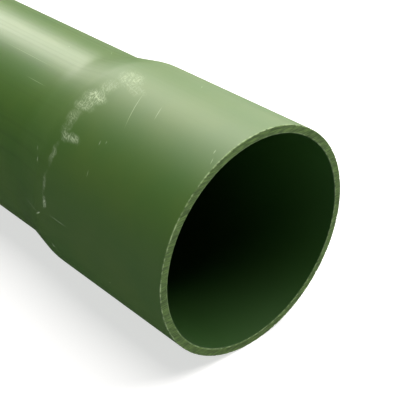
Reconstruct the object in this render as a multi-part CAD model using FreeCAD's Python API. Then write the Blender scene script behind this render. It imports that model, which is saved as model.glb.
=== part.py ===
"""Belled PVC conduit pipe, trade size 4 (100 mm), one 3 m length.

One extruded tube with a socket formed on one end. The socket end was heated and pushed over
a mandrel, so it is the same piece of plastic, a little wider and thinner than the tube.

Frame, in millimetres: the pipe's axis is the X axis and the socket's mouth is in the plane
X = 0. The mouth opens towards +X, and the plain spigot end is at X = -pipe_length. +Z is up.
"""

import FreeCAD, Part
import math
import os

# Driving dimensions
pipe_length = 3000.0        # overall, from spigot end to socket mouth
tube_outside_diameter = 114.3   # the spigot's outside, the standard size
tube_wall = 4.4             # outside diameter / 26
socket_clearance = 0.2      # radial gap between a seated spigot and the socket
socket_wall = 4.3           # the bell's wall, stretched slightly thinner than the tube's
socket_depth = 100.0        # straight bore, from the mouth to where the taper begins
taper_length = 24.0         # from the end of the straight socket to the start of the tube
shoulder_blend_radius = 25.0    # outside, where the socket turns into the taper
neck_blend_radius = 50.0    # outside, where the taper turns into the tube
mouth_inner_chamfer = 0.5   # the saw's arris, broken on the mouth's inner edge
spigot_outer_chamfer = 1.0  # the lead-in on the plain end
spigot_chamfer_length = 2.0

# Radii that follow from them
tube_outer_radius = tube_outside_diameter / 2
tube_inner_radius = tube_outer_radius - tube_wall
socket_inner_radius = tube_outer_radius + socket_clearance
socket_outer_radius = socket_inner_radius + socket_wall

AXIS_POINT = FreeCAD.Vector(0, 0, 0)
AXIS = FreeCAD.Vector(1, 0, 0)


def at(x, radius):
    """A point of the half section, in the XZ plane."""
    return FreeCAD.Vector(x, 0, radius)


def toward(start, end, distance):
    """The point on the line from start to end, at that distance from start."""
    return start + (end - start).normalize() * distance


def blend(before, corner, after, radius):
    """The start, middle and end of the arc of that radius which rounds the corner."""
    turn = math.pi - (before - corner).getAngle(after - corner)
    tangent = radius * math.tan(turn / 2)
    start = toward(corner, before, tangent)
    end = toward(corner, after, tangent)
    halfway = ((start + end) * 0.5 - corner).normalize()
    middle = corner + halfway * (radius / math.cos(turn / 2) - radius)
    return start, middle, end


def wall_line(mouth_x, mouth_radius, shoulder_blend, neck_blend, spigot_x, spigot_radius):
    """The edges of one face of the wall, from mouth to spigot: socket, taper, tube."""
    mouth = at(mouth_x, mouth_radius)
    shoulder = at(-socket_depth, mouth_radius)
    neck = at(-socket_depth - taper_length, spigot_radius)
    spigot = at(spigot_x, spigot_radius)
    shoulder_start, shoulder_middle, shoulder_end = blend(mouth, shoulder, neck, shoulder_blend)
    neck_start, neck_middle, neck_end = blend(shoulder, neck, spigot, neck_blend)
    return [
        Part.LineSegment(mouth, shoulder_start).toShape(),
        Part.Arc(shoulder_start, shoulder_middle, shoulder_end).toShape(),
        Part.LineSegment(shoulder_end, neck_start).toShape(),
        Part.Arc(neck_start, neck_middle, neck_end).toShape(),
        Part.LineSegment(neck_end, spigot).toShape(),
    ]


def half_section():
    """The wall's outline, all the way round."""
    outside = wall_line(
        0,
        socket_outer_radius,
        shoulder_blend_radius,
        neck_blend_radius,
        -pipe_length + spigot_chamfer_length,
        tube_outer_radius,
    )
    # The bore's blend is smaller by the wall at the shoulder and larger by it at the neck,
    # so the wall keeps about its thickness round the bends.
    bore = wall_line(
        -mouth_inner_chamfer,
        socket_inner_radius,
        shoulder_blend_radius - socket_wall,
        neck_blend_radius + tube_wall,
        -pipe_length,
        tube_inner_radius,
    )
    outside_spigot = outside[-1].Vertexes[-1].Point
    spigot_edge = at(-pipe_length, tube_outer_radius - spigot_outer_chamfer)
    bore_spigot = bore[-1].Vertexes[-1].Point
    bore_mouth = bore[0].Vertexes[0].Point
    mouth_edge = at(0, socket_inner_radius + mouth_inner_chamfer)
    outside_mouth = outside[0].Vertexes[0].Point
    ends = [
        Part.LineSegment(outside_spigot, spigot_edge).toShape(),
        Part.LineSegment(spigot_edge, bore_spigot).toShape(),
        Part.LineSegment(bore_mouth, mouth_edge).toShape(),
        Part.LineSegment(mouth_edge, outside_mouth).toShape(),
    ]
    return Part.Wire(Part.__sortEdges__(outside + bore + ends))


def conduit_pipe():
    """The wall's section turned a full circle about the pipe's axis."""
    return Part.Solid(Part.Face(half_section()).revolve(AXIS_POINT, AXIS, 360))


def main():
    os.makedirs("parts", exist_ok=True)
    pipe = conduit_pipe()
    pipe.exportStep("parts/conduit_pipe.step")
    box = pipe.optimalBoundingBox(False)
    print("conduit_pipe valid", pipe.isValid(), "volume cm3", round(pipe.Volume / 1000, 1))
    print("size mm", round(box.XLength, 1), round(box.YLength, 1), round(box.ZLength, 1))


main()
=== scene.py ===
import math

import bpy
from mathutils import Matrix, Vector


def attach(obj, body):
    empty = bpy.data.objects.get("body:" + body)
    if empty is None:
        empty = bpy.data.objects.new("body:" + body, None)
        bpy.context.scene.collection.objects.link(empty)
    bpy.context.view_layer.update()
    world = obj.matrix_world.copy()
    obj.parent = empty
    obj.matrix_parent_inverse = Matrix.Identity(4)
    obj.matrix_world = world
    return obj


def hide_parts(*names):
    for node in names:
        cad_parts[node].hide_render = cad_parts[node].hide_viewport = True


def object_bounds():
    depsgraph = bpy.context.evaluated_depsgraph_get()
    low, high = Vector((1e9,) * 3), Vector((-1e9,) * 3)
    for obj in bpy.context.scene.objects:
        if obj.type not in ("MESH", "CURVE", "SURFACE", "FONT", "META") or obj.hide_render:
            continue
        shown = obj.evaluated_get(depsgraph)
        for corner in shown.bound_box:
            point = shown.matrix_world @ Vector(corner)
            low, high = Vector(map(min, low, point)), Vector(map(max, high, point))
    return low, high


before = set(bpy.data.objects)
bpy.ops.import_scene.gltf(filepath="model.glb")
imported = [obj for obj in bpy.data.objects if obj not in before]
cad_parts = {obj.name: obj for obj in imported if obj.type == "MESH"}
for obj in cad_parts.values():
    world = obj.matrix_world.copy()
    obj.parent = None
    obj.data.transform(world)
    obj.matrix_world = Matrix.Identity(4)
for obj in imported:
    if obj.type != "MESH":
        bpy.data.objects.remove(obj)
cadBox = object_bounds()
mm = 0.001


def tell(words):
    print("conduit pipe:", words)


tell("frame loaded")

# shared helpers


def addNode(tree, kind, links=None, **settings):
    node = tree.nodes.new(kind)
    for name, value in settings.items():
        setattr(node, name, value)
    for key, value in (links or {}).items():
        if isinstance(value, bpy.types.NodeSocket):
            tree.links.new(value, node.inputs[key])
        else:
            node.inputs[key].default_value = value
    return node


def linearColour(hexCode):
    channels = [int(hexCode[i : i + 2], 16) / 255 for i in (1, 3, 5)]
    linear = [c / 12.92 if c <= 0.04045 else ((c + 0.055) / 1.055) ** 2.4 for c in channels]
    return (*linear, 1.0)


# Marks on the outside, in the unrolled sheet of the wall: place along the pipe (mm, 0 at the mouth) and
# round it (degrees, 90 is the top and 180 the -Y side), half length and half width (mm), turn from the
# pipe's direction (degrees) and strength.
scuffPatches = [
    (-85, 96, 12, 9, 24, 0.50),
    (-76, 101, 12, 4, 12, 0.30),
    (-89, 107, 7, 8, 0, 0.40),
    (-90, 115.5, 10, 6.5, 0, 0.9),
    (-91, 121, 9, 5, 0, 0.80),
    (-92, 128, 6, 7, 0, 0.50),
    (-92, 134, 4, 6, 0, 0.32),
    (-86.5, 137.8, 9.5, 3.8, 0, 0.8),
    (-92, 148, 2.0, 9, 0, 0.42),
    (-92.5, 163, 1.6, 9, 0, 0.40),
    (-91.5, 173, 2.4, 4, 0, 0.7),
    (-88, 243, 9, 9, 0, 0.7),
    (-93, -48, 7, 12, 3, 0.6),
    (-87, 8, 9, 8, 0, 0.7),
    (-91, 52, 6, 9, 0, 0.6),
]

scratches = [
    (-63.8, 111.5, 15, 0.24, 66, 0.42),
    (-50.3, 107.5, 5.8, 0.24, 66, 0.42),
    (-105, 179.6, 9, 0.30, 6, 0.42),
    (-97, 180.6, 3, 0.5, -35, 0.55),
    (-79, 177.6, 9, 0.25, 1, 0.40),
    (-138, 121, 11, 0.22, 0, 0.35),
    (-160, 109, 30, 0.2, 0, 0.22),
    (-66.3, 133, 1.6, 0.3, 80, 0.5),
    (-62.8, 131.4, 1.0, 0.3, 80, 0.45),
    (-64, 147.6, 2.2, 0.28, 80, 0.40),
    (-102.6, 154.6, 1.8, 0.5, 72, 0.5),
    (-106, 150, 1.5, 0.4, 60, 0.35),
    (-41, 194.6, 1.2, 0.35, -20, 0.5),
    (-90.5, 198, 1.8, 0.8, 70, 0.5),
    (-6.5, 111.5, 1.6, 0.3, 75, 0.5),
    (-3.6, 116, 2.4, 0.25, 70, 0.4),
    (-56, 76, 2.0, 0.3, 50, 0.5),
    (-148, 90, 1.2, 0.3, 30, 0.4),
    (-128, 76, 3.5, 0.3, 45, 0.5),
    (-40, -35, 14, 0.3, 55, 0.45),
    (-30, 28, 12, 0.3, -60, 0.4),
    (-112, 235, 10, 0.35, 12, 0.45),
    (-58, 232, 9, 0.3, -64, 0.45),
    (-230, 200, 34, 0.35, 9, 0.4),
    (-340, 120, 40, 0.35, 12, 0.4),
    (-420, 30, 26, 0.4, -14, 0.4),
]

unrolledRadius = 61.65  # mm, the sheet is as wide as the socket's outside
markCore = 0.25  # the share of a mark's reach that is at full strength


def marksAt(tree, sheet, marks):
    total = None
    for x, turn, halfLength, halfWidth, slant, strength in marks:
        place = addNode(
            tree,
            "ShaderNodeMapping",
            {
                "Vector": sheet,
                "Location": (x * mm, math.radians(turn) * unrolledRadius * mm, 0),
                "Rotation": (0, 0, math.radians(slant)),
                "Scale": (halfLength * mm, halfWidth * mm, 1),
            },
            vector_type="TEXTURE",
        )
        reach = addNode(tree, "ShaderNodeVectorMath", {0: place.outputs[0]}, operation="LENGTH")
        mask = addNode(
            tree,
            "ShaderNodeMapRange",
            {"Value": reach.outputs["Value"], "From Min": 1.0, "From Max": markCore, "To Max": strength},
            interpolation_type="SMOOTHSTEP",
        ).outputs[0]
        if total is None:
            total = mask
        else:
            total = addNode(tree, "ShaderNodeMath", {0: total, 1: mask}, operation="MAXIMUM").outputs[0]
    return total


# sizes in mm and turns in degrees
pvc = {
    "bodyDeep": "#35571d",
    "bodyWarm": "#3d5a1e",
    "mottleSize": 45,
    # the inside wall is given a darker green than the outside: painted shade inside the pipe, where little
    # light gets in
    "bore": "#1d4011",
    "ior": 1.50,
    "specular": 0.36,
    "haze": 0.35,  # fine handling wear, a wide dull gloss over the sharper one
    "hazeRoughness": 0.66,
    "tubeRoughness": 0.34,
    "bellRoughness": 0.46,  # duller where it was heated and formed
    "formedEnd": -130,  # behind this the tube is as it left the die
    "formedStart": -90,  # before this it was all formed hot
    # the die's lines
    "streakSpacing": 2.2,
    "streakLength": 400,
    "streakDark": 0.18,
    "streakRoughness": (-0.03, 0.04),
    "streakRelief": 0.016,
    "reliefStrength": 0.6,
    "bellCalm": 0.7,  # how much of them the forming took away
    "grainSize": 0.9,
    "grainShare": 0.12,
    # the rubs
    # one darker green for the die's lines and for the painted shade between a rub's threads
    "streakAndShadeColour": "#20380f",
    # painted shade over a rub's zone, seen between its pale threads
    "paintedRubShade": 0.2,
    "scuff": "#a8ba9a",
    "scuffHaze": 0.17,
    "scuffRoughness": 0.62,
    "raggedSize": 7,
    "raggedReach": 6,
    "threadTurns": ((82, 3.0), (24, 7.0)),  # from the pipe's direction, each with its seed
    "threadWidth": 0.75,
    "threadLength": 3.6,
    "threadPale": 0.64,
    # the sawn mouth
    "sawn": "#324c1b",
    "sawnPale": "#5a7837",
    "sawnRoughness": 0.7,
    "strokeWidth": 0.65,  # as wide as two of the saw's real lines
    "strokeLength": 7,
    "burr": "#9db385",
    "burrSize": 2.4,
}


def makeExtrudedPvc():
    # Rigid PVC, extruded through a die: an even satin green with faint lines along the pipe. The bell was
    # formed hot, which left it duller, it is rubbed pale behind its shoulder, and the mouth is rough from
    # the saw.
    material = bpy.data.materials.new("extrudedPvc")
    material.use_nodes = True
    tree = material.node_tree
    tree.nodes.clear()
    place = addNode(tree, "ShaderNodeTexCoord").outputs["Object"]
    sheet = addNode(tree, "ShaderNodeUVMap", uv_map="unrolled").outputs[0]
    sawn = addNode(tree, "ShaderNodeAttribute", attribute_name="sawn").outputs["Fac"]
    bore = addNode(tree, "ShaderNodeAttribute", attribute_name="bore").outputs["Fac"]
    broken = addNode(tree, "ShaderNodeAttribute", attribute_name="broken").outputs["Fac"]

    mottle = addNode(
        tree,
        "ShaderNodeTexNoise",
        {"Vector": place, "Scale": 1000 / pvc["mottleSize"], "Detail": 3.0, "Roughness": 0.55},
    ).outputs["Fac"]
    mottle = addNode(
        tree, "ShaderNodeMapRange", {"Value": mottle, "From Min": 0.35, "From Max": 0.65}
    ).outputs[0]
    body = addNode(
        tree,
        "ShaderNodeMix",
        {0: mottle, 6: linearColour(pvc["bodyDeep"]), 7: linearColour(pvc["bodyWarm"])},
        data_type="RGBA",
    ).outputs[2]
    # painted shade: the inside of the pipe is mixed to the darker bore green
    body = addNode(
        tree, "ShaderNodeMix", {0: bore, 6: body, 7: linearColour(pvc["bore"])}, data_type="RGBA"
    ).outputs[2]

    alongPipe = addNode(
        tree,
        "ShaderNodeMapping",
        {"Vector": sheet, "Scale": (1000 / pvc["streakLength"], 1000 / pvc["streakSpacing"], 1)},
    ).outputs[0]
    streaks = addNode(
        tree, "ShaderNodeTexNoise", {"Vector": alongPipe, "Scale": 1.0, "Detail": 2.0, "Roughness": 0.6}
    ).outputs["Fac"]
    # the forming calmed the die's lines on the bell
    flat = addNode(tree, "ShaderNodeSeparateXYZ", {0: sheet}).outputs
    formed = addNode(
        tree,
        "ShaderNodeMapRange",
        {"Value": flat["X"], "From Min": pvc["formedEnd"] * mm, "From Max": pvc["formedStart"] * mm},
    ).outputs[0]
    calmed = addNode(tree, "ShaderNodeMath", {0: formed, 1: pvc["bellCalm"]}, operation="MULTIPLY").outputs[0]
    streaks = addNode(tree, "ShaderNodeMix", {0: calmed, 2: streaks, 3: 0.5}).outputs[0]
    grain = addNode(
        tree, "ShaderNodeTexNoise", {"Vector": place, "Scale": 1000 / pvc["grainSize"], "Detail": 2.0}
    ).outputs["Fac"]

    # scuffs: ragged patches of thin lines, some round the pipe and some nearly along it
    stray = addNode(
        tree, "ShaderNodeTexNoise", {"Vector": sheet, "Scale": 1000 / pvc["raggedSize"], "Detail": 3.0}
    ).outputs["Color"]
    stray = addNode(
        tree, "ShaderNodeVectorMath", {0: stray, 1: (0.5, 0.5, 0.5)}, operation="SUBTRACT"
    ).outputs[0]
    stray = addNode(
        tree, "ShaderNodeVectorMath", {0: stray, "Scale": pvc["raggedReach"] * mm}, operation="SCALE"
    ).outputs[0]
    ragged = addNode(tree, "ShaderNodeVectorMath", {0: sheet, 1: stray}, operation="ADD").outputs[0]
    zone = marksAt(tree, ragged, scuffPatches)
    threads = None
    for turn, seed in pvc["threadTurns"]:
        run = addNode(
            tree,
            "ShaderNodeMapping",
            {
                "Vector": sheet,
                "Location": (seed, 0, 0),
                "Rotation": (0, 0, math.radians(turn)),
                "Scale": (pvc["threadLength"] * mm, pvc["threadWidth"] * mm, 1),
            },
            vector_type="TEXTURE",
        ).outputs[0]
        lines = addNode(
            tree,
            "ShaderNodeTexNoise",
            {"Vector": run, "Scale": 1.0, "Detail": 3.0, "Roughness": 0.6, "Distortion": 0.9},
        ).outputs["Fac"]
        lines = addNode(
            tree, "ShaderNodeMapRange", {"Value": lines, "From Min": 0.53, "From Max": 0.62}
        ).outputs[0]
        if threads is None:
            threads = lines
        else:
            threads = addNode(tree, "ShaderNodeMath", {0: threads, 1: lines}, operation="MAXIMUM").outputs[0]
    scuffed = addNode(
        tree,
        "ShaderNodeMath",
        {0: threads, 1: pvc["threadPale"], 2: pvc["scuffHaze"]},
        operation="MULTIPLY_ADD",
    ).outputs[0]
    scuffed = addNode(tree, "ShaderNodeMath", {0: scuffed, 1: zone}, operation="MULTIPLY").outputs[0]
    scratched = marksAt(tree, sheet, scratches)
    pale = addNode(tree, "ShaderNodeMath", {0: scuffed, 1: scratched}, operation="MAXIMUM").outputs[0]

    # the die's lines are a little darker, and the wall between the threads of a rub is darkened too: painted
    # shade standing in for the rubs' relief
    streakAndShade = addNode(
        tree,
        "ShaderNodeMapRange",
        {"Value": streaks, "From Min": 0.52, "From Max": 0.72, "To Max": pvc["streakDark"]},
    ).outputs[0]
    streakAndShade = addNode(
        tree, "ShaderNodeMath", {0: zone, 1: pvc["paintedRubShade"], 2: streakAndShade}, operation="MULTIPLY_ADD"
    ).outputs[0]
    body = addNode(
        tree, "ShaderNodeMix", {0: streakAndShade, 6: body, 7: linearColour(pvc["streakAndShadeColour"])}, data_type="RGBA"
    ).outputs[2]
    colour = addNode(
        tree, "ShaderNodeMix", {0: pale, 6: body, 7: linearColour(pvc["scuff"])}, data_type="RGBA"
    ).outputs[2]

    # the sawn end: lines along the blade's stroke, some of them torn pale
    stroke = addNode(
        tree,
        "ShaderNodeMapping",
        {
            "Vector": place,
            "Rotation": (pipe["sawTurn"], 0, 0),
            "Scale": (0, 1000 / pvc["strokeLength"], 1000 / pvc["strokeWidth"]),
        },
        vector_type="POINT",
    ).outputs[0]
    strokes = addNode(
        tree, "ShaderNodeTexNoise", {"Vector": stroke, "Scale": 1.0, "Detail": 2.0, "Roughness": 0.6}
    ).outputs["Fac"]
    torn = addNode(tree, "ShaderNodeMapRange", {"Value": strokes, "From Min": 0.4, "From Max": 0.66}).outputs[0]
    cut = addNode(
        tree,
        "ShaderNodeMix",
        {0: torn, 6: linearColour(pvc["sawn"]), 7: linearColour(pvc["sawnPale"])},
        data_type="RGBA",
    ).outputs[2]
    colour = addNode(tree, "ShaderNodeMix", {0: sawn, 6: colour, 7: cut}, data_type="RGBA").outputs[2]

    # whitened burrs where the blade broke out of the wall's two edges
    burrs = addNode(
        tree,
        "ShaderNodeTexNoise",
        {"Vector": place, "Scale": 1000 / pvc["burrSize"], "Detail": 4.0, "Roughness": 0.6},
    ).outputs["Fac"]
    burrs = addNode(tree, "ShaderNodeMapRange", {"Value": burrs, "From Min": 0.42, "From Max": 0.62}).outputs[0]
    burrs = addNode(tree, "ShaderNodeMath", {0: burrs, 1: broken}, operation="MULTIPLY").outputs[0]
    colour = addNode(
        tree, "ShaderNodeMix", {0: burrs, 6: colour, 7: linearColour(pvc["burr"])}, data_type="RGBA"
    ).outputs[2]

    plainRough = addNode(
        tree, "ShaderNodeMix", {0: formed, 2: pvc["tubeRoughness"], 3: pvc["bellRoughness"]}
    ).outputs[0]
    smoother, rougher = pvc["streakRoughness"]
    rough = addNode(
        tree,
        "ShaderNodeMapRange",
        {"Value": streaks, "From Min": 0.3, "From Max": 0.7, "To Min": smoother, "To Max": rougher},
    ).outputs[0]
    rough = addNode(tree, "ShaderNodeMath", {0: rough, 1: plainRough}, operation="ADD").outputs[0]
    rough = addNode(tree, "ShaderNodeMix", {0: pale, 2: rough, 3: pvc["scuffRoughness"]}).outputs[0]
    rough = addNode(tree, "ShaderNodeMix", {0: sawn, 2: rough, 3: pvc["sawnRoughness"]}).outputs[0]

    # the rubs stay out of the relief: with them the material is too long for the renderer
    relief = addNode(tree, "ShaderNodeMath", {0: grain, 1: pvc["grainShare"]}, operation="MULTIPLY").outputs[0]
    relief = addNode(tree, "ShaderNodeMath", {0: relief, 1: streaks}, operation="ADD").outputs[0]
    bump = addNode(
        tree,
        "ShaderNodeBump",
        {"Height": relief, "Distance": pvc["streakRelief"] * mm, "Strength": pvc["reliefStrength"]},
    ).outputs[0]
    surface = addNode(
        tree,
        "ShaderNodeBsdfPrincipled",
        {
            "Base Color": colour,
            "Roughness": rough,
            "IOR": pvc["ior"],
            "Specular IOR Level": pvc["specular"],
            "Coat Weight": pvc["haze"],
            "Coat Roughness": pvc["hazeRoughness"],
            "Normal": bump,
        },
    )
    addNode(tree, "ShaderNodeOutputMaterial", {"Surface": surface.outputs[0]})
    return material


# The pipe's axis is X, and the mouth is at X = 0. Lengths come out in metres; a scale is in cells to the
# metre.
pipe = {
    "length": 3.0,
    "tubeRadius": 57.15 * mm,
    "tubeWall": 4.4 * mm,
    "socketBore": 57.35 * mm,  # a radius
    "socketWall": 4.3 * mm,
    "socketDepth": 100 * mm,
    "taperLength": 24 * mm,
    "shoulderBlend": 25 * mm,
    "neckBlend": 50 * mm,
    "mouthChamfer": 0.5 * mm,
    "mouthArris": 0.3 * mm,  # the outer edge, just broken
    "spigotChamfer": 1.0 * mm,
    "spigotChamferLength": 2.0 * mm,
    "mouthDepth": 9 * mm,  # the finely cut stretch at the mouth
    "plainStart": 11 * mm,  # where the coarser net takes over
    "columns": 288,
    "fineSteps": 5,
    "sawPitch": 1.1 * mm,  # the teeth's real lines are about half as far apart
    "sawDepth": 0.28 * mm,
    "sawTurn": math.radians(8),  # the blade's stroke, from level
    "strayScale": 160.0,  # the lines' wandering
    "strayReach": 9.0,  # radians of a line's phase
    "rimWave": 0.22 * mm,
    "rimWaveScale": 26.0,
    "chipDepth": 0.35 * mm,
    "chipScale": 420.0,
    "wallWave": 0.10 * mm,
    "wallWaveScale": 18.0,
    "mergeReach": 0.004 * mm,
    "sharpAngle": math.radians(38),
    "seed": 4.0,
}


def wallPoints(socketRadius, tubeRadius, shoulder, neck, start, end):
    slope = math.atan((socketRadius - tubeRadius) / pipe["taperLength"])
    shoulderX = -pipe["socketDepth"] + shoulder * math.tan(slope / 2)
    neckX = -pipe["socketDepth"] - pipe["taperLength"] - neck * math.tan(slope / 2)
    steps, bellRows, tubeRows = 5, 10, 26
    tubeSpread = 1.7  # the tube's rows lie closer together near the neck
    points = []
    for i in range(bellRows):
        points.append((start + (shoulderX - start) * i / bellRows, socketRadius))
    for i in range(steps + 1):
        a = slope * i / steps
        points.append((shoulderX - shoulder * math.sin(a), socketRadius - shoulder * (1 - math.cos(a))))
    taperStart = points[-1]
    taperEnd = (neckX + neck * math.sin(slope), tubeRadius + neck * (1 - math.cos(slope)))
    for i in (1, 2, 3):
        points.append(tuple(a + (b - a) * i / 4 for a, b in zip(taperStart, taperEnd)))
    for i in range(steps + 1):
        a = slope * (1 - i / steps)
        points.append((neckX + neck * math.sin(a), tubeRadius + neck * (1 - math.cos(a))))
    for i in range(1, tubeRows + 1):
        points.append((neckX + (end - neckX) * (i / tubeRows) ** tubeSpread, tubeRadius))
    return points


def wallOutline():
    # rows of (x, radius, fine, sawn, edge, bore, broken), from behind the mouth along the outside and
    # back along the bore
    outerRadius = pipe["socketBore"] + pipe["socketWall"]
    tubeBore = pipe["tubeRadius"] - pipe["tubeWall"]
    outside = wallPoints(
        outerRadius,
        pipe["tubeRadius"],
        pipe["shoulderBlend"],
        pipe["neckBlend"],
        -pipe["plainStart"],
        -pipe["length"] + pipe["spigotChamferLength"],
    )
    bore = wallPoints(
        pipe["socketBore"],
        tubeBore,
        pipe["shoulderBlend"] - pipe["socketWall"],
        pipe["neckBlend"] + pipe["tubeWall"],
        -pipe["plainStart"],
        -pipe["length"],
    )
    end = [(-pipe["length"], pipe["tubeRadius"] - pipe["spigotChamfer"])]
    rows = [(x, r, 0, 0, 0, 0, 0) for x, r in outside + end] + [(x, r, 0, 0, 0, 1, 0) for x, r in bore[::-1]]
    depths = [-pipe["mouthDepth"], -6 * mm, -4 * mm, -2.5 * mm, -1.5 * mm, -0.9 * mm]
    rows += [(x, pipe["socketBore"], 1, 0, 0, 1, 0) for x in depths]
    chamfer = pipe["mouthChamfer"]
    rows += [(-chamfer * (1 - t), pipe["socketBore"] + chamfer * t, 1, t * 0.6, 0, 1, t) for t in (0, 0.5)]
    faceStart = pipe["socketBore"] + chamfer
    faceEnd = outerRadius - pipe["mouthArris"]
    faceRows = 12
    for i in range(faceRows + 1):
        atEdge = i >= faceRows - 1
        broken = 0.35 if i == faceRows else 0.3 if i == 0 else 0
        rows.append((0, faceStart + (faceEnd - faceStart) * i / faceRows, 1, 1, atEdge, 0, broken))
    arris = pipe["mouthArris"]
    for a in (30, 60):
        a = math.radians(a)
        rows.append((-arris * (1 - math.cos(a)), faceEnd + arris * math.sin(a), 1, 1, 1, 0, 0.8))
    rows.append((-arris, outerRadius, 1, 0.3, 1, 0, 0.55))
    rows += [(x, outerRadius, 1, 0, 0, 0, 0) for x in depths[::-1]]
    return rows


def outlineObject(rows):
    mesh = bpy.data.meshes.new("conduitPipe")
    mesh.from_pydata([(x, 0, r) for x, r, *_ in rows], [], [])
    for index, name in ((2, "fine"), (3, "sawn"), (4, "edge"), (5, "bore"), (6, "broken")):
        flag = mesh.attributes.new(name, "FLOAT", "POINT")
        flag.data.foreach_set("value", [float(row[index]) for row in rows])
    made = bpy.data.objects.new("conduitPipe", mesh)
    bpy.context.scene.collection.objects.link(made)
    return made


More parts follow.
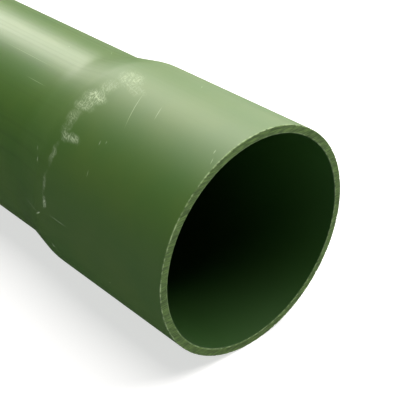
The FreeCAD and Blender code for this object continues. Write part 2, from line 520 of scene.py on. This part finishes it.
def pipeTree():
    tree = bpy.data.node_groups.new("turnedWall", "GeometryNodeTree")
    face = tree.interface
    face.new_socket("Geometry", in_out="INPUT", socket_type="NodeSocketGeometry")
    for name in ("columns", "fineSteps"):
        face.new_socket(name, in_out="INPUT", socket_type="NodeSocketInt")
    for name in (
        "sawPitch",
        "sawDepth",
        "sawTurn",
        "strayScale",
        "strayReach",
        "rimWave",
        "rimWaveScale",
        "chipDepth",
        "chipScale",
        "wallWave",
        "wallWaveScale",
        "mergeReach",
        "sharpAngle",
        "seed",
    ):
        face.new_socket(name, in_out="INPUT", socket_type="NodeSocketFloat")
    face.new_socket("material", in_out="INPUT", socket_type="NodeSocketMaterial")
    face.new_socket("Geometry", in_out="OUTPUT", socket_type="NodeSocketGeometry")
    given = addNode(tree, "NodeGroupInput").outputs
    outline = given["Geometry"]

    # a flat net: one row for each point of the outline, one column for each step round the pipe
    rows = addNode(tree, "GeometryNodeAttributeDomainSize", {0: outline}).outputs["Point Count"]
    around = addNode(
        tree, "ShaderNodeMath", {0: given["columns"], 1: given["fineSteps"]}, operation="MULTIPLY"
    ).outputs[0]
    netRows = addNode(tree, "ShaderNodeMath", {0: rows, 1: 1}, operation="ADD").outputs[0]
    netColumns = addNode(tree, "ShaderNodeMath", {0: around, 1: 1}, operation="ADD").outputs[0]
    net = addNode(
        tree,
        "GeometryNodeMeshGrid",
        {"Size X": 1.0, "Size Y": 1.0, "Vertices X": netRows, "Vertices Y": netColumns},
    ).outputs["Mesh"]
    index = addNode(tree, "GeometryNodeInputIndex").outputs[0]
    netRow = addNode(tree, "ShaderNodeMath", {0: index, 1: 0.5}, operation="ADD").outputs[0]
    netRow = addNode(tree, "ShaderNodeMath", {0: netRow, 1: netColumns}, operation="DIVIDE").outputs[0]
    netRow = addNode(tree, "ShaderNodeMath", {0: netRow}, operation="FLOOR").outputs[0]
    rowStart = addNode(tree, "ShaderNodeMath", {0: netRow, 1: netColumns}, operation="MULTIPLY").outputs[0]
    column = addNode(tree, "ShaderNodeMath", {0: index, 1: rowStart}, operation="SUBTRACT").outputs[0]
    # the net's last row is the first one again, which closes the section
    row = addNode(tree, "ShaderNodeMath", {0: netRow, 1: rows}, operation="MODULO").outputs[0]

    place = addNode(tree, "GeometryNodeSampleIndex", data_type="FLOAT_VECTOR", domain="POINT")
    tree.links.new(outline, place.inputs["Geometry"])
    tree.links.new(addNode(tree, "GeometryNodeInputPosition").outputs[0], place.inputs["Value"])
    tree.links.new(row, place.inputs["Index"])
    xyz = addNode(tree, "ShaderNodeSeparateXYZ", {0: place.outputs[0]}).outputs
    flags = {}
    for name in ("fine", "sawn", "edge", "bore", "broken"):
        flag = addNode(tree, "GeometryNodeSampleIndex", data_type="FLOAT", domain="POINT")
        tree.links.new(outline, flag.inputs["Geometry"])
        tree.links.new(
            addNode(tree, "GeometryNodeInputNamedAttribute", {"Name": name}, data_type="FLOAT").outputs[0],
            flag.inputs["Value"],
        )
        tree.links.new(row, flag.inputs["Index"])
        flags[name] = flag.outputs[0]

    # behind the mouth the columns close up, fineSteps to one, and are merged below
    step = addNode(tree, "ShaderNodeMix", {0: flags["fine"], 2: given["fineSteps"], 3: 1.0}).outputs[0]
    slot = addNode(tree, "ShaderNodeMath", {0: column, 1: step}, operation="DIVIDE").outputs[0]
    slot = addNode(tree, "ShaderNodeMath", {0: slot, 1: 0.5}, operation="ADD").outputs[0]
    slot = addNode(tree, "ShaderNodeMath", {0: slot}, operation="FLOOR").outputs[0]
    share = addNode(tree, "ShaderNodeMath", {0: slot, 1: step}, operation="MULTIPLY").outputs[0]
    share = addNode(tree, "ShaderNodeMath", {0: share, 1: around}, operation="DIVIDE").outputs[0]
    angle = addNode(
        tree, "ShaderNodeMath", {0: share, 1: 2 * math.pi, 2: -math.pi / 2}, operation="MULTIPLY_ADD"
    ).outputs[0]
    unitY = addNode(tree, "ShaderNodeMath", {0: angle}, operation="COSINE").outputs[0]
    unitZ = addNode(tree, "ShaderNodeMath", {0: angle}, operation="SINE").outputs[0]
    plainY = addNode(tree, "ShaderNodeMath", {0: unitY, 1: xyz["Z"]}, operation="MULTIPLY").outputs[0]
    plainZ = addNode(tree, "ShaderNodeMath", {0: unitZ, 1: xyz["Z"]}, operation="MULTIPLY").outputs[0]
    plain = addNode(tree, "ShaderNodeCombineXYZ", {0: xyz["X"], 1: plainY, 2: plainZ}).outputs[0]

    # the saw's lines run straight across the whole mouth
    across = addNode(
        tree,
        "ShaderNodeVectorRotate",
        {"Vector": plain, "Angle": given["sawTurn"], "Axis": (1, 0, 0)},
        rotation_type="AXIS_ANGLE",
    ).outputs[0]
    acrossZ = addNode(tree, "ShaderNodeSeparateXYZ", {0: across}).outputs["Z"]
    stray = addNode(
        tree,
        "ShaderNodeTexNoise",
        {"Vector": plain, "W": given["seed"], "Scale": given["strayScale"], "Detail": 2.0},
        noise_dimensions="4D",
    ).outputs["Fac"]
    shift = addNode(tree, "ShaderNodeMath", {0: stray, 1: given["strayReach"]}, operation="MULTIPLY").outputs[0]
    phase = addNode(tree, "ShaderNodeMath", {0: acrossZ, 1: given["sawPitch"]}, operation="DIVIDE").outputs[0]
    phase = addNode(
        tree, "ShaderNodeMath", {0: phase, 1: 2 * math.pi, 2: shift}, operation="MULTIPLY_ADD"
    ).outputs[0]
    ripple = addNode(tree, "ShaderNodeMath", {0: phase}, operation="SINE").outputs[0]
    ripple = addNode(tree, "ShaderNodeMath", {0: ripple, 1: 0.5, 2: 0.5}, operation="MULTIPLY_ADD").outputs[0]
    ripple = addNode(tree, "ShaderNodeMath", {0: ripple, 1: stray}, operation="MULTIPLY").outputs[0]
    ripple = addNode(tree, "ShaderNodeMath", {0: ripple, 1: given["sawDepth"]}, operation="MULTIPLY").outputs[0]
    slow = addNode(
        tree,
        "ShaderNodeTexNoise",
        {"Vector": plain, "W": given["seed"], "Scale": given["rimWaveScale"], "Detail": 1.0},
        noise_dimensions="4D",
    ).outputs["Fac"]
    sawCut = addNode(
        tree, "ShaderNodeMath", {0: slow, 1: given["rimWave"], 2: ripple}, operation="MULTIPLY_ADD"
    ).outputs[0]
    sawCut = addNode(tree, "ShaderNodeMath", {0: sawCut, 1: flags["sawn"]}, operation="MULTIPLY").outputs[0]

    # chips along the outer arris
    chip = addNode(
        tree,
        "ShaderNodeTexNoise",
        {"Vector": plain, "W": given["seed"], "Scale": given["chipScale"], "Detail": 2.0},
        noise_dimensions="4D",
    ).outputs["Fac"]
    chip = addNode(tree, "ShaderNodeMapRange", {"Value": chip, "From Min": 0.56, "From Max": 0.74}).outputs[0]
    chip = addNode(tree, "ShaderNodeMath", {0: chip, 1: given["chipDepth"]}, operation="MULTIPLY").outputs[0]
    chip = addNode(tree, "ShaderNodeMath", {0: chip, 1: flags["edge"]}, operation="MULTIPLY").outputs[0]

    # the wall is never quite round
    swell = addNode(
        tree,
        "ShaderNodeTexNoise",
        {"Vector": plain, "W": given["seed"], "Scale": given["wallWaveScale"], "Detail": 1.0},
        noise_dimensions="4D",
    ).outputs["Fac"]
    sink = addNode(
        tree, "ShaderNodeMath", {0: swell, 1: given["wallWave"], 2: chip}, operation="MULTIPLY_ADD"
    ).outputs[0]
    radius = addNode(tree, "ShaderNodeMath", {0: xyz["Z"], 1: sink}, operation="SUBTRACT").outputs[0]
    cutBack = addNode(tree, "ShaderNodeMath", {0: sawCut, 1: chip}, operation="ADD").outputs[0]
    x = addNode(tree, "ShaderNodeMath", {0: xyz["X"], 1: cutBack}, operation="SUBTRACT").outputs[0]
    y = addNode(tree, "ShaderNodeMath", {0: unitY, 1: radius}, operation="MULTIPLY").outputs[0]
    z = addNode(tree, "ShaderNodeMath", {0: unitZ, 1: radius}, operation="MULTIPLY").outputs[0]
    position = addNode(tree, "ShaderNodeCombineXYZ", {0: x, 1: y, 2: z}).outputs[0]

    # the bore's side of the sheet lies a metre further round, out of the marks' way
    arc = addNode(
        tree, "ShaderNodeMath", {0: angle, 1: unrolledRadius * mm, 2: flags["bore"]}, operation="MULTIPLY_ADD"
    ).outputs[0]
    sheet = addNode(
        tree,
        "GeometryNodeFieldOnDomain",
        {0: addNode(tree, "ShaderNodeCombineXYZ", {0: xyz["X"], 1: arc}).outputs[0]},
        data_type="FLOAT_VECTOR",
        domain="POINT",
    ).outputs[0]
    named = addNode(
        tree,
        "GeometryNodeStoreNamedAttribute",
        {"Geometry": net, "Name": "unrolled", "Value": sheet},
        data_type="FLOAT2",
        domain="CORNER",
    ).outputs[0]
    for name in ("sawn", "bore", "broken"):
        named = addNode(
            tree,
            "GeometryNodeStoreNamedAttribute",
            {"Geometry": named, "Name": name, "Value": flags[name]},
            data_type="FLOAT",
            domain="POINT",
        ).outputs[0]
    turned = addNode(tree, "GeometryNodeSetPosition", {"Geometry": named, "Position": position}).outputs[0]
    merged = addNode(
        tree, "GeometryNodeMergeByDistance", {"Geometry": turned, "Distance": given["mergeReach"]}
    ).outputs[0]
    smooth = addNode(
        tree, "GeometryNodeSetShadeSmooth", {"Geometry": merged, "Shade Smooth": True}, domain="FACE"
    ).outputs[0]
    bend = addNode(tree, "GeometryNodeInputMeshEdgeAngle").outputs["Unsigned Angle"]
    soft = addNode(
        tree, "FunctionNodeCompare", {0: bend, 1: given["sharpAngle"]}, operation="LESS_THAN", data_type="FLOAT"
    ).outputs[0]
    smooth = addNode(
        tree, "GeometryNodeSetShadeSmooth", {"Geometry": smooth, "Shade Smooth": soft}, domain="EDGE"
    ).outputs[0]
    whole = addNode(tree, "GeometryNodeRealizeInstances", {"Geometry": smooth}).outputs[0]
    finished = addNode(
        tree, "GeometryNodeSetMaterial", {"Geometry": whole, "Material": given["material"]}
    ).outputs[0]
    addNode(tree, "NodeGroupOutput", {"Geometry": finished})
    return tree


def runTree(made, tree, inputs):
    modifier = made.modifiers.new(tree.name, "NODES")
    modifier.node_group = tree
    for item in tree.interface.items_tree:
        if item.item_type == "SOCKET" and item.in_out == "INPUT" and item.name in inputs:
            modifier[item.identifier] = inputs[item.name]
    graph = bpy.context.evaluated_depsgraph_get()
    plainMesh = bpy.data.meshes.new_from_object(
        made.evaluated_get(graph), preserve_all_data_layers=True, depsgraph=graph
    )
    made.modifiers.remove(modifier)
    made.data = plainMesh
    made.data.materials.clear()
    made.data.materials.append(inputs["material"])


extrudedPvc = makeExtrudedPvc()
tell("material made")
conduitPipe = outlineObject(wallOutline())
runTree(conduitPipe, pipeTree(), {**pipe, "material": extrudedPvc})
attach(conduitPipe, "root")
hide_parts("conduit_pipe")
tell(f"pipe turned, {len(conduitPipe.data.polygons)} faces")

# floor, light and camera
studio = {
    "floorHalf": 60.0,
    "floorColour": "#babbc2",
    "floorRoughness": 0.8,
    "floorGlow": 0.64,  # the board gives some light of its own
    "worldColour": "#ffffff",
    "worldStrength": 0.12,
    "mirroredStrength": 0.04,  # what the gloss sees of the room
    "lampColour": "#fffaee",
    "seenStrength": 0.9,  # what the camera sees of it
}

floorMesh = bpy.data.meshes.new("floor")
half = studio["floorHalf"]
low = cadBox[0].z
corners = [(-half, -half, low), (half, -half, low), (half, half, low), (-half, half, low)]
floorMesh.from_pydata(corners, [], [(0, 1, 2, 3)])
floor = bpy.data.objects.new("floor", floorMesh)
bpy.context.scene.collection.objects.link(floor)
paleBoard = bpy.data.materials.new("paleBoard")
paleBoard.use_nodes = True
boardTree = paleBoard.node_tree
boardTree.nodes.clear()
board = addNode(
    boardTree,
    "ShaderNodeBsdfPrincipled",
    {
        "Base Color": linearColour(studio["floorColour"]),
        "Roughness": studio["floorRoughness"],
        "Emission Color": (1, 1, 1, 1),
        "Emission Strength": studio["floorGlow"],
    },
)
addNode(boardTree, "ShaderNodeOutputMaterial", {"Surface": board.outputs[0]})
floorMesh.materials.append(paleBoard)
floor.visible_glossy = False

world = bpy.data.worlds.new("paleRoom")
bpy.context.scene.world = world
world.use_nodes = True
room = world.node_tree
room.nodes.clear()
path = addNode(room, "ShaderNodeLightPath").outputs
strength = addNode(
    room, "ShaderNodeMix", {0: path["Is Glossy Ray"], 2: studio["worldStrength"], 3: studio["mirroredStrength"]}
).outputs[0]
strength = addNode(
    room, "ShaderNodeMix", {0: path["Is Camera Ray"], 2: strength, 3: studio["seenStrength"]}
).outputs[0]
walls = addNode(
    room, "ShaderNodeBackground", {"Color": linearColour(studio["worldColour"]), "Strength": strength}
)
addNode(room, "ShaderNodeOutputWorld", {"Surface": walls.outputs[0]})

softboxes = [
    {"name": "backSoftbox", "at": (-5.5, 4.1, 5.9), "size": (20, 4.8), "watts": 2230},
    {"name": "topSoftbox", "at": (-1.5, 0.0, 7.6), "size": (12, 5.0), "watts": 650},
    {"name": "lowSoftbox", "at": (-1.5, 8.5, 2.0), "size": (12.5, 3.4), "watts": 480},
]
for box in softboxes:
    lamp = bpy.data.lights.new(box["name"], "AREA")
    lamp.shape = "RECTANGLE"
    lamp.size, lamp.size_y = box["size"]
    lamp.energy = box["watts"]
    lamp.color = linearColour(studio["lampColour"])[:3]
    held = bpy.data.objects.new(box["name"], lamp)
    held.location = box["at"]
    aim = Vector((box["at"][0], 0, 0)) - Vector(box["at"])  # square on to the pipe's axis
    held.rotation_euler = aim.to_track_quat("-Z", "Y").to_euler()
    held.visible_camera = False
    bpy.context.scene.collection.objects.link(held)

outlook = {
    "lens": 83.28,
    "sensorWidth": 36,
    "clip": (0.01, 200),
    "at": (0.26733, -0.27924, 0.26608),
    "towards": (-0.620, 0.572, -0.536),
}
lens = bpy.data.cameras.new("camera")
lens.lens = outlook["lens"]
lens.sensor_width = outlook["sensorWidth"]
lens.clip_start, lens.clip_end = outlook["clip"]
camera = bpy.data.objects.new("camera", lens)
camera.location = outlook["at"]
camera.rotation_euler = Vector(outlook["towards"]).to_track_quat("-Z", "Y").to_euler()
bpy.context.scene.collection.objects.link(camera)
bpy.context.scene.camera = camera
bpy.context.scene.view_settings.view_transform = "Standard"
tell("studio ready")
